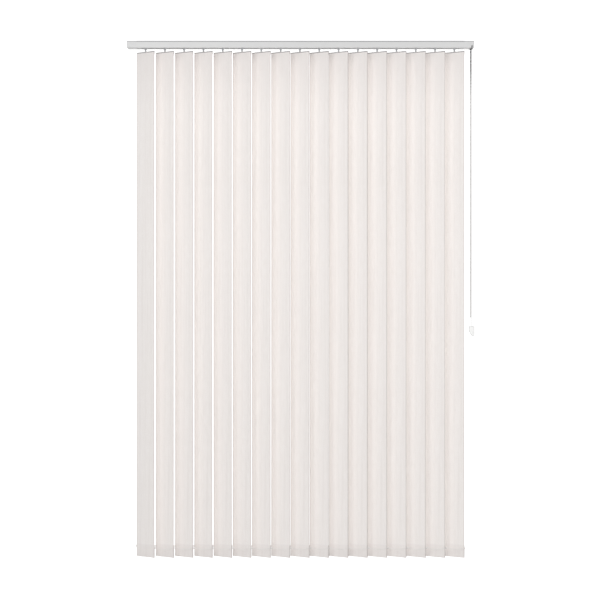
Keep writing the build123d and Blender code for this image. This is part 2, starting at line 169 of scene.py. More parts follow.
# %% One material
class Finish:
    """One material, built round a Principled shader."""

    def __init__(self, name, colour, roughness, **sockets):
        self.material = bpy.data.materials.new(name)
        self.material.use_nodes = True
        self.tree = self.material.node_tree
        self.shader = self.tree.nodes["Principled BSDF"]
        self.colour = (*colour, 1)
        self.shader.inputs["Base Color"].default_value = self.colour
        self.shader.inputs["Roughness"].default_value = roughness
        for socket, value in sockets.items():
            self.shader.inputs[socket.replace("_", " ")].default_value = value
        self.places = self.node("ShaderNodeTexCoord", {}, {})

    def node(self, kind, settings, sockets):
        node = self.tree.nodes.new(kind)
        for name, value in settings.items():
            setattr(node, name, value)
        for name, value in sockets.items():
            self.give(node.inputs[name], value)
        return node

    def give(self, socket, value):
        source = value.socket if isinstance(value, Field) else value
        if isinstance(source, bpy.types.NodeSocket):
            self.tree.links.new(source, socket)
        else:
            socket.default_value = source

    def axes(self, space="Object"):
        """The three coordinates of a point, in the piece's own space or on its cloth."""
        split = self.node("ShaderNodeSeparateXYZ", {}, {0: self.places.outputs[space]})
        return [Field(self, out) for out in split.outputs]

    def noise(self, scale, detail=2.0, stretch=(1, 1, 1), space="Object"):
        spread = self.node("ShaderNodeMapping", {}, {0: self.places.outputs[space], "Scale": stretch})
        sockets = {"Vector": spread.outputs[0], "Scale": scale, "Detail": detail}
        return Field(self, self.node("ShaderNodeTexNoise", {}, sockets).outputs["Fac"])

    def tint(self, amount, colour, over=None):
        """Lays a colour over the last one, as strongly as amount says."""
        sockets = {0: amount, 6: over or self.colour, 7: (*colour, 1)}
        mix = self.node("ShaderNodeMix", {"data_type": "RGBA"}, sockets)
        self.tree.links.new(mix.outputs[2], self.shader.inputs["Base Color"])
        return mix.outputs[2]

    def relief(self, height, depth, strength=1.0):
        sockets = {"Height": height, "Distance": depth, "Strength": strength}
        bump = self.node("ShaderNodeBump", {}, sockets)
        self.tree.links.new(bump.outputs[0], self.shader.inputs["Normal"])

    def roughen(self, value):
        self.give(self.shader.inputs["Roughness"], value)


print("finish:", [name for name in vars(Finish) if not name.startswith("_")])

# %% [markdown]
# Caps, carriers and gears are moulded. A plain colour would look like paint, because moulded
# parts are never perfectly even. A faint cloudiness in the colour and a fine spark-eroded grain
# in the surface are enough to make one read as plastic, so one function makes them all.


# %% Moulded plastic
def moulded(name, colour, roughness=0.42, grain=1400, depth=0.03):
    finish = Finish(name, colour, roughness, Specular_IOR_Level=0.45)
    cloud = finish.noise(60)
    darker = tuple(0.93 * c for c in colour)
    finish.tone = finish.tint(cloud.rise(0.35, 0.75) * 0.6, darker)
    fine = finish.noise(grain, 1.0)
    finish.relief(fine, depth * MM, 0.5)
    finish.roughen(fine * 0.12 + (roughness - 0.06))
    return finish


grey_plastic = moulded("stem_grey_plastic", (0.50, 0.51, 0.53))
carrier_plastic = moulded("carrier_grey_plastic", (0.55, 0.56, 0.58))
gear_plastic = moulded("gear_white_plastic", (0.80, 0.80, 0.77), 0.35)
cap_plastic = moulded("cap_light_plastic", (0.70, 0.70, 0.70), 0.45)
white_plastic = moulded("white_gloss_plastic", (0.88, 0.88, 0.87), 0.28)
tug_plastic = moulded("cord_weight_plastic", (0.93, 0.93, 0.92), 0.3)
plate_plastic = moulded("weight_plate_plastic", (0.72, 0.70, 0.68), 0.5)
print("moulded plastics:", len(bpy.data.materials))

# %% [markdown]
# Two of the plastics darken in one place, and both are painted shade. The end caps carry on the
# headrail's greyer top band above its groove, painted shade of the mounting groove. The cord's
# weight keeps a darker rim round its recessed faces, painted shade at its edges. Both
# could be separate pieces, but a step in the colour along one axis needs no extra edge.

# %% Painted shade on the caps and the cord's weight
BAND_LOW, BAND_HIGH = -6.2 * MM, -5.2 * MM
GROOVE_SHADE_GREY = (0.50, 0.50, 0.505)
RIM_SHADE_START, RIM_SHADE_FULL = 7.3 * MM, 7.7 * MM
_, _, level = cap_plastic.axes()
# Painted shade of the mounting groove, carried on along the caps' top.
cap_plastic.tint(level.rise(BAND_LOW, BAND_HIGH) * 0.8, GROOVE_SHADE_GREY, cap_plastic.tone)
_, depth, _ = tug_plastic.axes()
# Painted shade on the weight's rim, round its recessed white faces.
rim = (depth - TUG_Y).size().rise(RIM_SHADE_START, RIM_SHADE_FULL)
tug_plastic.tint(rim * 0.9, (0.56, 0.56, 0.555), tug_plastic.tone)
print("top band", round((BAND_HIGH - BAND_LOW) / MM, 2), "mm of fade")

# %% [markdown]
# The headrail is extruded aluminium under a satin coat. The extrusion leaves long faint lines
# along it, so the noise that feeds its bump and its gloss is stretched along X. A band along
# its top, above the groove, is painted darker grey as shade of the mounting groove. The tilt
# rod is bare drawn metal.

# %% Painted aluminium
paint = Finish("satin_rail_paint", (0.69, 0.69, 0.69), 0.36, Specular_IOR_Level=0.5)
lines = paint.noise(900, 2.0, (0.004, 1, 1))
mottle = paint.noise(14, 3.0)
tone = paint.tint(mottle.rise(0.3, 0.8) * 0.5, (0.67, 0.67, 0.67))
_, _, level = paint.axes()
# Painted shade of the mounting groove: a greyer band along the rail's top.
paint.tint(level.rise(BAND_LOW, BAND_HIGH) * 0.9, GROOVE_SHADE_GREY, tone)
paint.relief(lines + mottle * 0.2, 0.02 * MM, 0.6)
paint.roughen(lines * 0.1 + 0.31)

metal = Finish("drawn_rod_metal", (0.62, 0.63, 0.64), 0.3, Metallic=1.0)
drawn = metal.noise(1600, 2.0, (0.01, 1, 1))
metal.tint(drawn * 0.5, (0.5, 0.51, 0.52))
metal.relief(drawn, 0.01 * MM, 0.6)
print("rail and rod finishes made")

# %% [markdown]
# The louvre's cloth is a stiffened plain weave in a warm white. A printed picture of cloth would
# repeat and smear in the folds, so the weave is two crossed sine waves with a slub noise, laid
# out on the cloth's own flat coordinates, where it follows every fold.

# %% Louvre cloth: the weave
WEAVE = 0.85 * MM
cloth = Finish("louvre_cloth", (0.90, 0.855, 0.826), 0.85, Specular_IOR_Level=0.2, Sheen_Weight=0.15)
along, up, _ = cloth.axes("UV")
_, _, height = cloth.axes("Object")
weft = (up * (2 * math.pi / WEAVE)).sine()
warp = (along * (2 * math.pi / WEAVE)).sine()
slub = cloth.noise(220, 3.0, (1, 0.12, 1), "UV")
threads = weft * warp * 0.5 + slub
streaks = cloth.noise(75, 3.0, (1, 0.02, 1), "UV")
tone = cloth.tint(threads.rise(0.0, 1.0) * 0.9, (0.96, 0.928, 0.91))
tone = cloth.tint(streaks.rise(0.42, 0.72) * 0.4, (0.84, 0.795, 0.77), tone)
cloth.relief(threads, 0.2 * MM, 0.8)
print("threads across one louvre:", round(CLOTH_WIDTH / WEAVE))

# %% [markdown]
# A louvre isn't one even tone. It is greyer over the pockets, where there are two layers and a
# plate behind them. Painted shade darkens it towards the top, under the headrail, and a dark
# painted shade lies along its top fold, in the gap under the headrail. A narrow painted shade
# also runs down both cut edges. Each of these is a step in height or width, tinted over the weave.

# %% Louvre cloth: pockets, edges and shade
POCKET_SEAM = CLOTH_BOTTOM + BOTTOM_POCKET
EDGE_X = CLOTH_WIDTH / 2
low_pocket = height.rise(POCKET_SEAM + 0.5 * MM, POCKET_SEAM - 1.5 * MM)
seam = 1 - (height - (POCKET_SEAM - 1.5 * MM)).size().rise(1.2 * MM, 2.6 * MM)
# Painted shade: the cloth darkens towards the top, under the headrail.
top_shade = height.rise(-0.32, CLOTH_TOP)
# Painted shade: a dark strip along the top fold, in the gap under the headrail.
fold_shade = height.rise(CLOTH_TOP - 4.6 * MM, CLOTH_TOP - 3.2 * MM)
# Painted shade along both cut edges of the cloth.
edge = (along - EDGE_X).size().rise(EDGE_X - 3.5 * MM, EDGE_X - 1.0 * MM)
tone = cloth.tint(top_shade * 0.35, (0.78, 0.735, 0.72), tone)
tone = cloth.tint(low_pocket * 0.18, (0.74, 0.675, 0.66), tone)
tone = cloth.tint(seam * 0.55, (0.90, 0.86, 0.845), tone)
tone = cloth.tint(edge * 0.75, (0.60, 0.555, 0.535), tone)
cloth.tint(fold_shade * 0.85, (0.30, 0.295, 0.295), tone)
print("pocket seam at", round(POCKET_SEAM, 4))

# %% [markdown]
# The pulls are a bead chain and a braided cord. Near the headrail they are in its shade and look
# dark, and lower down they are pale. The even light of this scene leaves no such shade on pieces
# so thin, so their colour follows their height instead.


# %% Chain and cord finishes
def hanging(name, pale, dark, roughness, relief_scale, depth):
    finish = Finish(name, pale, roughness, Specular_IOR_Level=0.15)
    _, _, height = finish.axes("Object")
    finish.tint(height.rise(-0.25, -0.09), dark)
    finish.relief(finish.noise(relief_scale, 1.0), depth * MM, 0.6)
    return finish


bead_finish = hanging("chain_bead_plastic", (0.58, 0.58, 0.57), (0.045, 0.048, 0.048), 0.35, 1500, 0.03)
cord_finish = hanging("braided_cord", (0.48, 0.48, 0.475), (0.03, 0.032, 0.032), 0.8, 2600, 0.15)
link_finish = moulded("link_bead_plastic", (0.84, 0.83, 0.81), 0.3)
print("finishes in all:", len(bpy.data.materials))

# %% [markdown]
# The headrail, caps, rod, carriers and worms are already the right shape in the construction.
# Making them again would only lose exactness, so they keep it and only take a material.


# %% Finish the CAD nodes that stay
def dress(node, finish):
    piece = frame["nodes"][node]
    piece.data.materials.clear()
    piece.data.materials.append(finish.material)


dress("headrail", paint)
dress("idle_end_cap", cap_plastic)
dress("control_end_cap", cap_plastic)
dress("tilt_rod", metal)
for n in LOUVRES:
    dress(f"carrier_{n}", carrier_plastic)
    dress(f"worm_{n}", gear_plastic)
print("carriers and worms dressed:", 2 * len(LOUVRES))

# %% [markdown]
# Shaping starts from Blender's own primitives. An edit needs the right faces selected, and a
# test on each face's place says that better than picking them by number.


# %% Helpers: selecting and finishing
SMOOTH_ANGLE = math.radians(40)


def select_only(piece):
    bpy.ops.object.select_all(action="DESELECT")
    piece.select_set(True)
    bpy.context.view_layer.objects.active = piece


def choose_faces(piece, test):
    """Leaves the piece in edit mode with only the faces that pass the test selected."""
    select_only(piece)
    bpy.ops.object.mode_set(mode="EDIT")
    bpy.ops.mesh.select_mode(type="FACE")
    bpy.ops.mesh.select_all(action="DESELECT")
    bpy.ops.object.mode_set(mode="OBJECT")
    for polygon in piece.data.polygons:
        polygon.select = test(polygon)
    bpy.ops.object.mode_set(mode="EDIT")


def apply_modifiers(piece):
    select_only(piece)
    for modifier in list(piece.modifiers):
        bpy.ops.object.modifier_apply(modifier=modifier.name)


def soften(piece, width, segments=2):
    """Rounds the sharp edges of a moulded or stamped piece."""
    bevel = piece.modifiers.new("rounded_edges", "BEVEL")
    bevel.width = width
    bevel.segments = segments
    bevel.limit_method = "ANGLE"
    apply_modifiers(piece)
    bpy.ops.object.shade_smooth_by_angle(angle=SMOOTH_ANGLE)


print("edges smooth below", round(math.degrees(SMOOTH_ANGLE)), "degrees")

# %% [markdown]
# Plates, gears and mouldings with one outline are all slabs: a circle with as many corners as
# the outline is moved onto it and then drawn out in depth. A round part is a cylinder.


# %% Helpers: slab and cylinder
def slab(name, outline, thickness):
    """A flat piece with that outline in X and Z, centred on Y."""
    bpy.ops.object.select_all(action="DESELECT")
    bpy.ops.mesh.primitive_circle_add(vertices=len(outline), radius=1, fill_type="NGON")
    piece = bpy.context.object
    piece.name = name
    for vertex, (x, z) in zip(piece.data.vertices, outline):
        vertex.co = (x, -thickness / 2, z)
    bpy.ops.object.mode_set(mode="EDIT")
    bpy.ops.mesh.select_all(action="SELECT")
    bpy.ops.mesh.extrude_region_move(TRANSFORM_OT_translate={"value": (0, thickness, 0)})
    bpy.ops.mesh.select_all(action="SELECT")
    bpy.ops.mesh.normals_make_consistent(inside=False)
    bpy.ops.object.mode_set(mode="OBJECT")
    return piece


def cylinder(name, radius, low, high, sides=32):
    bpy.ops.object.select_all(action="DESELECT")
    middle = (0, 0, (low + high) / 2)
    bpy.ops.mesh.primitive_cylinder_add(vertices=sides, radius=radius, depth=high - low, location=middle)
    bpy.context.object.name = name
    return bpy.context.object


print("two makers: slab and cylinder")

# %% [markdown]
# Every new piece is made at the middle of the frame, square to the rail, and then turned and
# moved into place in its own mesh. It ends at the origin like a CAD node, with one material, a
# body to ride on, and the node that it stands for.


# %% Helpers: joining, copying and placing
def join(name, *pieces):
    bpy.ops.object.select_all(action="DESELECT")
    for piece in pieces:
        piece.select_set(True)
    bpy.context.view_layer.objects.active = pieces[0]
    bpy.ops.object.join()
    pieces[0].name = name
    return pieces[0]


def copy_of(piece, name):
    twin = piece.copy()
    twin.data = piece.data.copy()
    twin.name = name
    bpy.context.collection.objects.link(twin)
    return twin


def settle(piece, finish, body, nodes, place=None):
    """Fixes a piece's place in its mesh and says what it rides on and stands for."""
    piece.data.transform(piece.matrix_world)
    piece.matrix_world = Matrix.Identity(4)
    if place is not None:
        piece.data.transform(place)
    piece.data.materials.clear()
    piece.data.materials.append(finish.material)
    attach(piece, body)
    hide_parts(*nodes)


def at_stem(n):
    """The turn and shift that take a piece from the middle of the frame to louvre n."""
    return Matrix.Translation((STEM_X[n], 0, 0)) @ Matrix.Rotation(-REST_TURN, 4, "Z")


print("first stem at", round(STEM_X["01"], 4), "and last at", round(STEM_X["17"], 4))

# %% [markdown]
# A louvre is one flat strip, folded back on itself at both ends and welded to make two pockets.
# So it is made the same way: a grid of the strip's flat size, rolled along the folded outline.
# A cloth simulation could fold it too, but the welds and the pockets' depth would be hard to set.

# %% The louvre's folded outline
WELD = 3 * MM
CLOSING = 5 * MM
CLOSING_STEPS = 5
FACE_ROWS = 48
WELD_Y = -POCKET_HALF + CLOTH + 0.05 * MM


def flap(seam_z, towards):
    """Points of a pocket's back layer, from its welded edge to where it hangs free."""
    points = [(WELD_Y, seam_z), (WELD_Y, seam_z + towards * WELD)]
    for step in range(1, CLOSING_STEPS + 1):
        share = step / CLOSING_STEPS
        ease = share * share * (3 - 2 * share)
        y = WELD_Y + (POCKET_HALF - WELD_Y) * ease
        points.append((y, seam_z + towards * (WELD + CLOSING * share)))
    return points


def fold(z, towards, start, steps=8):
    """Points round a fold about z, from the side that start gives to the other."""
    turns = [math.pi * step / steps for step in range(steps + 1)]
    return [(start * POCKET_HALF * math.cos(a), z + towards * POCKET_HALF * math.sin(a)) for a in turns]


top_fold = fold(CLOTH_TOP - POCKET_HALF, 1, 1)
low_fold = fold(CLOTH_BOTTOM + POCKET_HALF, -1, -1)
face_top, face_foot = top_fold[-1][1], low_fold[0][1]
face = []
for row in range(1, FACE_ROWS):
    face.append((-POCKET_HALF, face_top + (face_foot - face_top) * row / FACE_ROWS))
outline = flap(CLOTH_TOP - TOP_POCKET, 1) + top_fold + face + low_fold
outline += reversed(flap(CLOTH_BOTTOM + BOTTOM_POCKET, -1))
reach = [0.0]
for (y0, z0), (y1, z1) in zip(outline, outline[1:]):
    reach.append(reach[-1] + math.hypot(y1 - y0, z1 - z0))

# %% [markdown]
# The strip is a grid. Its rows go to the folded outline, its columns across the width, with two
# of them at the edges of the notch that lets the hanger's neck through. A slight bow and cupping
# keep the louvres from looking like boards. The distance along the strip is kept as its UV, and
# the thickness comes last, from a Solidify modifier.

# %% Fold one strip into a louvre
NOTCH = 7 * MM
NOTCH_SHARE = NOTCH / (CLOTH_WIDTH / 2)
COLUMNS = [-1.0, -0.72, -0.44, -NOTCH_SHARE, NOTCH_SHARE, 0.44, 0.72, 1.0]
# The bow starts just below the top pocket and ends just above the bottom one.
FREE_START, FREE_SPAN = 0.012, 0.96
CUP_LEVEL = 0.4
CLOTH_SMOOTH = math.radians(35)


def louvre_strip(name, bow, cup):
    """One folded strip. bow is how far its middle stands off, and cup how far its edges curl."""
    bpy.ops.object.select_all(action="DESELECT")
    across, down = len(COLUMNS) - 1, len(outline) - 1
    bpy.ops.mesh.primitive_grid_add(x_subdivisions=across, y_subdivisions=down, size=2)
    piece = bpy.context.object
    piece.name = name
    flat = {}
    for vertex in piece.data.vertices:
        column = round((vertex.co.x + 1) / 2 * across)
        row = round((vertex.co.y + 1) / 2 * down)
        x = COLUMNS[column] * CLOTH_WIDTH / 2
        y, z = outline[row]
        hang = (CLOTH_TOP - z) / (CLOTH_TOP - CLOTH_BOTTOM)
        free = math.sin(math.pi * min(max((hang - FREE_START) / FREE_SPAN, 0), 1))
        y += free * (bow + cup * (COLUMNS[column] ** 2 - CUP_LEVEL))
        vertex.co = (x, y, z)
        flat[vertex.index] = (x + CLOTH_WIDTH / 2, reach[row])
    for loop in piece.data.loops:
        piece.data.uv_layers.active.data[loop.index].uv = flat[loop.vertex_index]
    choose_faces(piece, lambda f: abs(f.center.x) < NOTCH and f.center.z > CLOTH_TOP - 2 * MM)
    bpy.ops.mesh.delete(type="FACE")
    bpy.ops.mesh.select_all(action="SELECT")
    bpy.ops.mesh.normals_make_consistent(inside=False)
    bpy.ops.object.mode_set(mode="OBJECT")
    thick = piece.modifiers.new("cloth_thickness", "SOLIDIFY")
    thick.thickness = CLOTH
    thick.offset = 0
    apply_modifiers(piece)
    bpy.ops.object.shade_smooth_by_angle(angle=CLOTH_SMOOTH)
    return piece


print("grid of", len(COLUMNS), "by", len(outline), "vertices")

# %% [markdown]
# The hanger plate slides into the top pocket, and its neck comes up through the notch for the
# stem to grip. Every edge of it is square to the rest, so half its outline, mirrored, says it
# all, and a small bevel takes the sharpness off.

# %% Hanger plate
PLATE_HALF = CLOTH_WIDTH / 2 - 2.5 * MM
HANGER_TOP = CLOTH_TOP - 0.75 * MM
HANGER_FOOT = HANGER_TOP - 16 * MM
NECK_TOP = RAIL_UNDERSIDE - 5.3 * MM
NECK_HALF = 4.5 * MM


def mirrored(half):
    """An outline that is the same on both sides, from its half on +X."""
    return half + [(-x, z) for x, z in reversed(half)]


def hanger_plate():
    half = [
        (NECK_HALF, NECK_TOP),
        (NECK_HALF, HANGER_TOP),
        (PLATE_HALF, HANGER_TOP),
        (PLATE_HALF, HANGER_FOOT),
    ]
    piece = slab("hanger_plate", mirrored(half), PLATE)
    soften(piece, 0.35 * MM)
    return piece


print("hanger plate", round(2 * PLATE_HALF, 4), "wide")

# %% [markdown]
# The weight lies in the bottom pocket and keeps the louvre straight. An ear passes each edge of
# the cloth, with an upright pin for the linking chain. It is one sheet piece on the real louvre,
# so the ears and pins are points of the same outline.

# %% Bottom weight
WEIGHT_TOP = CLOTH_BOTTOM + 46.75 * MM
WEIGHT_FOOT = CLOTH_BOTTOM + 0.75 * MM
EAR_FOOT = EAR_Z - 2.5 * MM
EAR_END = EAR_REACH + 1.2 * MM
PIN_HALF = 0.7 * MM
PIN_TOP = EAR_Z + 4 * MM
CORNER = 4 * MM


def weight_plate():
    half = [
        (PLATE_HALF - CORNER, WEIGHT_TOP),
        (PLATE_HALF, WEIGHT_TOP - CORNER),
        (PLATE_HALF, EAR_Z),
        (EAR_REACH - PIN_HALF, EAR_Z),
        (EAR_REACH - PIN_HALF, PIN_TOP),
        (EAR_REACH + PIN_HALF, PIN_TOP),
        (EAR_REACH + PIN_HALF, EAR_Z),
        (EAR_END, EAR_Z),
        (EAR_END, EAR_FOOT),
        (PLATE_HALF, EAR_FOOT),
        (PLATE_HALF, WEIGHT_FOOT + CORNER),
        (PLATE_HALF - CORNER, WEIGHT_FOOT),
    ]
    piece = slab("weight_plate", mirrored(half), PLATE)
    soften(piece, 0.25 * MM)
    return piece


print("weight", round(2 * EAR_END, 4), "across its ears")

# %% [markdown]
# The worm wheel turns in the carrier, where the tilt rod's worm drives it. It could be cut from
# a disc, tooth by tooth. A slab with the gear's outline is simpler: six points a tooth, repeated
# round the circle, with the flanks leaning in towards the tip.

# %% Worm wheel
WHEEL_TEETH = 10
WHEEL_FACE = 4 * MM
# Half a tooth's angles, in radians, and the radius at each in millimetres, from root to tip.
TOOTH = ((0.26, 3.8), (0.09, 5.1), (0.04, 6.0))


def worm_wheel():
    """A toothed disc, centred on the tilt rod's height."""
    rim = []
    flanks = [(-turn, radius) for turn, radius in TOOTH] + list(reversed(TOOTH))
    for tooth in range(WHEEL_TEETH):
        middle = 2 * math.pi * tooth / WHEEL_TEETH + math.radians(90) + REST_TURN
        for turn, radius in flanks:
            rim.append((radius * MM * math.cos(middle + turn), radius * MM * math.sin(middle + turn)))
    wheel = slab("worm_wheel", rim, WHEEL_FACE)
    laid_flat = Matrix.Rotation(math.radians(90), 4, "X")
    wheel.data.transform(Matrix.Translation((0, 0, ROD_Z)) @ laid_flat)
    soften(wheel, 0.12 * MM, 1)
    return wheel


print("worm wheel of", WHEEL_TEETH, "teeth at", round(ROD_Z, 4))

# %% [markdown]
# The stem is one moulding with the wheel: a round shank through the rail's slot, and a fork that
# grips the hanger's neck, with a small peg between its tines. Each of its simple shapes is made
# and softened by itself, and then they are joined into one piece.

# %% Stem
SHANK = 3.5 * MM
FORK_TOP = RAIL_UNDERSIDE - 2 * MM
BRIDGE_FOOT = FORK_TOP - 3 * MM
TINE_FOOT = CLOTH_TOP + 0.8 * MM
TINE = 1.6 * MM
TINE_Y = PLATE / 2 + 0.3 * MM + TINE / 2
TINE_CUT = 1.5 * MM
PEG = 1.5 * MM


def stem_moulding():
    shank = cylinder("stem", SHANK, FORK_TOP, ROD_Z - WHEEL_FACE / 2)
    soften(shank, 0.4 * MM)
    bridge_outline = [(-SHANK, BRIDGE_FOOT), (SHANK, BRIDGE_FOOT), (SHANK, FORK_TOP), (-SHANK, FORK_TOP)]
    parts = [shank, slab("bridge", bridge_outline, 2 * (TINE_Y + TINE / 2))]
    tine_outline = [
        (-SHANK, BRIDGE_FOOT),
        (-SHANK, TINE_FOOT + TINE_CUT),
        (-SHANK + TINE_CUT, TINE_FOOT),
        (SHANK - TINE_CUT, TINE_FOOT),
        (SHANK, TINE_FOOT + TINE_CUT),
        (SHANK, BRIDGE_FOOT),
    ]
    for way in (-1, 1):
        tine = slab("tine", tine_outline, TINE)
        tine.data.transform(Matrix.Translation((0, way * TINE_Y, 0)))
        parts.append(tine)
    peg = cylinder("peg", PEG, -TINE_Y, TINE_Y, 20)
    peg.data.transform(Matrix.Rotation(math.radians(90), 4, "X"))
    peg.location.z = (NECK_TOP + TINE_FOOT) / 2
    parts.append(peg)
    for part in parts[1:]:
        soften(part, 0.3 * MM)
    return join("stem_moulding", *parts, worm_wheel())


print("stem from", round(FORK_TOP, 4), "down to", round(TINE_FOOT, 4))

# %% [markdown]
# Seventeen louvres hang alike. The hard parts are made once and copied, but each cloth is folded
# anew, because no two strips hang quite the same. A seeded random bow and cupping keep that the
# same from run to run.

# %% Hang the louvres
random.seed(17)
MOST_BOW, MOST_CUP = 0.5 * MM, 0.4 * MM
first = {"hanger": hanger_plate(), "weight": weight_plate(), "stem": stem_moulding()}
kinds = {
    "hanger": ("hanger", plate_plastic, "link_plastic"),
    "weight": ("bottom_weight", plate_plastic, "weight_plastic"),
    "stem": ("stem", grey_plastic, "carrier_plastic"),
}
for n in LOUVRES:
    bow = random.uniform(-MOST_BOW, MOST_BOW)
    cup = random.uniform(-MOST_CUP, MOST_CUP)
    strip = louvre_strip(f"louvre_cloth_{n}", bow, cup)
    node = [f"vane_{n}"]
    settle(strip, cloth, f"vane_{n}", node, at_stem(n))
    for kind, (title, finish, slot) in kinds.items():
        piece = copy_of(first[kind], f"{title}_{n}")
        settle(piece, finish, f"vane_{n}", node, at_stem(n))
for piece in first.values():
    bpy.data.objects.remove(piece)
print("louvres hung:", len(LOUVRES))

# %% [markdown]
# Two light bead chains link the louvres' feet, to keep their spacing and stop them swinging. A row
# is made straight, with an Array of one bead and one thread, and then hung in shallow arcs, by
# lowering each vertex by its place between two pins. Each arc also stands off from the cloth,
# which leaves it room when the louvres turn nearly flat.

# %% A row of linking beads
BEAD = 1.15 * MM
LINK_THREAD = 0.35 * MM
BEADS_PER_SPAN = 22
CLIP_MIDDLE = EAR_Z + 1.8 * MM
LINK_SAG = 6 * MM
LINK_BULGE = 2.2 * MM


def bead_row(name, start_x, row_y, outwards):
    """A straight row of beads along X, then hung in arcs between the pins."""
    step = PITCH / BEADS_PER_SPAN
    bpy.ops.object.select_all(action="DESELECT")
    bpy.ops.mesh.primitive_ico_sphere_add(subdivisions=2, radius=BEAD)
    bead = bpy.context.object
    bpy.ops.mesh.primitive_cylinder_add(
        vertices=6, radius=LINK_THREAD, depth=step, location=(step / 2, 0, 0), rotation=(0, math.pi / 2, 0)
    )
    row = join(name, bead, bpy.context.object)
    array = row.modifiers.new("beads", "ARRAY")
    array.count = BEADS_PER_SPAN * (len(LOUVRES) - 1)
    array.use_relative_offset = False
    array.use_constant_offset = True
    array.constant_offset_displace = (step, 0, 0)
    apply_modifiers(row)
    bpy.ops.object.shade_smooth()
    for vertex in row.data.vertices:
        share = (vertex.co.x / PITCH) % 1
        arch = 4 * share * (1 - share)
        vertex.co.z += CLIP_MIDDLE - LINK_SAG * arch
        vertex.co.x += start_x
        vertex.co.y += row_y + outwards * LINK_BULGE * math.sqrt(arch)
    return row


print("beads in a row:", BEADS_PER_SPAN * (len(LOUVRES) - 1))

# %% [markdown]
# A snap ring holds the chain on each pin. A torus is the nearest primitive, and drawing it out
# in height gives the ring the flat band that a moulded clip has.

# %% Clip ring
RING, RING_WIRE = 1.95 * MM, 0.62 * MM
RING_TALL = 1.7


def clip_ring():
    """The snap ring that holds the chain on a louvre's pin."""
    bpy.ops.object.select_all(action="DESELECT")
    bpy.ops.mesh.primitive_torus_add(
        major_radius=RING, minor_radius=RING_WIRE, major_segments=24, minor_segments=10
    )
    ring = bpy.context.object
    ring.data.transform(Matrix.Diagonal((1, 1, RING_TALL, 1)))
    bpy.ops.object.shade_smooth()
    return ring


print("ring", round(2 * (RING + RING_WIRE), 4), "across")

# %% [markdown]
# One row runs along the front and one along the back, each from the first louvre's pin. The
# clips ride with their louvres. A row has no joints of its own.

# %% Hang the linking chains
GATHERED = 15.5 * MM
ring = clip_ring()
for side, body in ((1, "front_chain"), (-1, "back_chain")):
    pin_x = side * EAR_REACH * math.cos(REST_TURN)
    pin_y = -side * EAR_REACH * math.sin(REST_TURN)
    row = bead_row(f"{body}_beads", STEM_X["01"] + pin_x, pin_y, -side)
    settle(row, link_finish, body, [body])
    anchor = (STEM_X["01"] + pin_x, pin_y, CLIP_MIDDLE)
    GATHERED / PITCH
    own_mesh(row)
    for n in LOUVRES:
        clip = copy_of(ring, f"{body}_clip_{n}")
        place = Matrix.Translation((STEM_X[n] + pin_x, pin_y, CLIP_MIDDLE))
        settle(clip, white_plastic, f"vane_{n}", [body], place)
bpy.data.objects.remove(ring)
print("clips:", 2 * len(LOUVRES), "at height", round(CLIP_MIDDLE, 4))

# %% [markdown]
# A pull is a real length of cord, so its route is a short list of points that a smooth spline
# rounds off. The points stand as the cord is led: over its wheel, straight down, and round the
# bottom of the loop. The spline is measured along its own line before it is given a thickness.


# %% Routes for the pulls
def route(name, points, diameter):
    """A round cord along a smooth spline whose control points are the route's."""
    curve = bpy.data.curves.new(name, "CURVE")
    curve.dimensions = "3D"
    curve.resolution_u = 24
    curve.use_fill_caps = True
    spline = curve.splines.new("NURBS")
    spline.points.add(len(points) - 1)
    for point, place in zip(spline.points, points):
        point.co = (*place, 1)
    spline.order_u = 3
    spline.use_endpoint_u = True
    piece = bpy.data.objects.new(name, curve)
    bpy.context.collection.objects.link(piece)
    centre = bpy.data.meshes.new_from_object(piece.evaluated_get(bpy.context.evaluated_depsgraph_get()))
    line = [vertex.co.copy() for vertex in centre.vertices]
    curve.bevel_depth = diameter / 2
    curve.bevel_resolution = 4
    return piece, line


def length_of(line):
    return sum((b - a).length for a, b in zip(line, line[1:]))


def declare(piece, finish, nodes):
    piece.data.materials.append(finish.material)
    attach(piece, "root")
    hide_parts(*nodes)


print("one spline for each pull")

# %% [markdown]
# The tilt chain is a closed loop over the chain wheel in the control cap. Its thread is a route
# of listed points, with the wheel's radius at the top and a free turn at the foot.

# %% Tilt chain: the thread
CHAIN_X = 0.697
CHAIN_RADIUS = 7.64 * MM
NEAR, FAR = ROD_Y - CHAIN_RADIUS, ROD_Y + CHAIN_RADIUS
CHAIN_TOP = ROD_Z + CHAIN_RADIUS
CHAIN_BEAD = 2.25 * MM
CHAIN_FOOT = -1.131 + CHAIN_BEAD
CHAIN_EASE = 30 * MM
CHAIN_LEAVES = ROD_Z - 20 * MM
chain_points = [
    (CHAIN_X, ROD_Y, CHAIN_TOP),
    (CHAIN_X, FAR, CHAIN_TOP),
    (CHAIN_X, FAR, CHAIN_LEAVES),
    (CHAIN_X, FAR, CHAIN_FOOT + CHAIN_EASE),
    (CHAIN_X, FAR, CHAIN_FOOT),
    (CHAIN_X, NEAR, CHAIN_FOOT),
    (CHAIN_X, NEAR, CHAIN_FOOT + CHAIN_EASE),
    (CHAIN_X, NEAR, CHAIN_LEAVES),
    (CHAIN_X, NEAR, CHAIN_TOP),
    (CHAIN_X, ROD_Y - 0.5 * MM, CHAIN_TOP),
]
THREAD = 1.2 * MM
thread, line = route("tilt_chain_thread", chain_points, THREAD)
declare(thread, bead_finish, ["tilt_chain"])

# %% [markdown]
# Beads could be instances on the curve. Copying one bead's mesh to every step along the thread's
# line gives one plain piece instead, which rides and is finished like all the others.


# %% Tilt chain: the beads
BEAD_STEP = 6 * MM


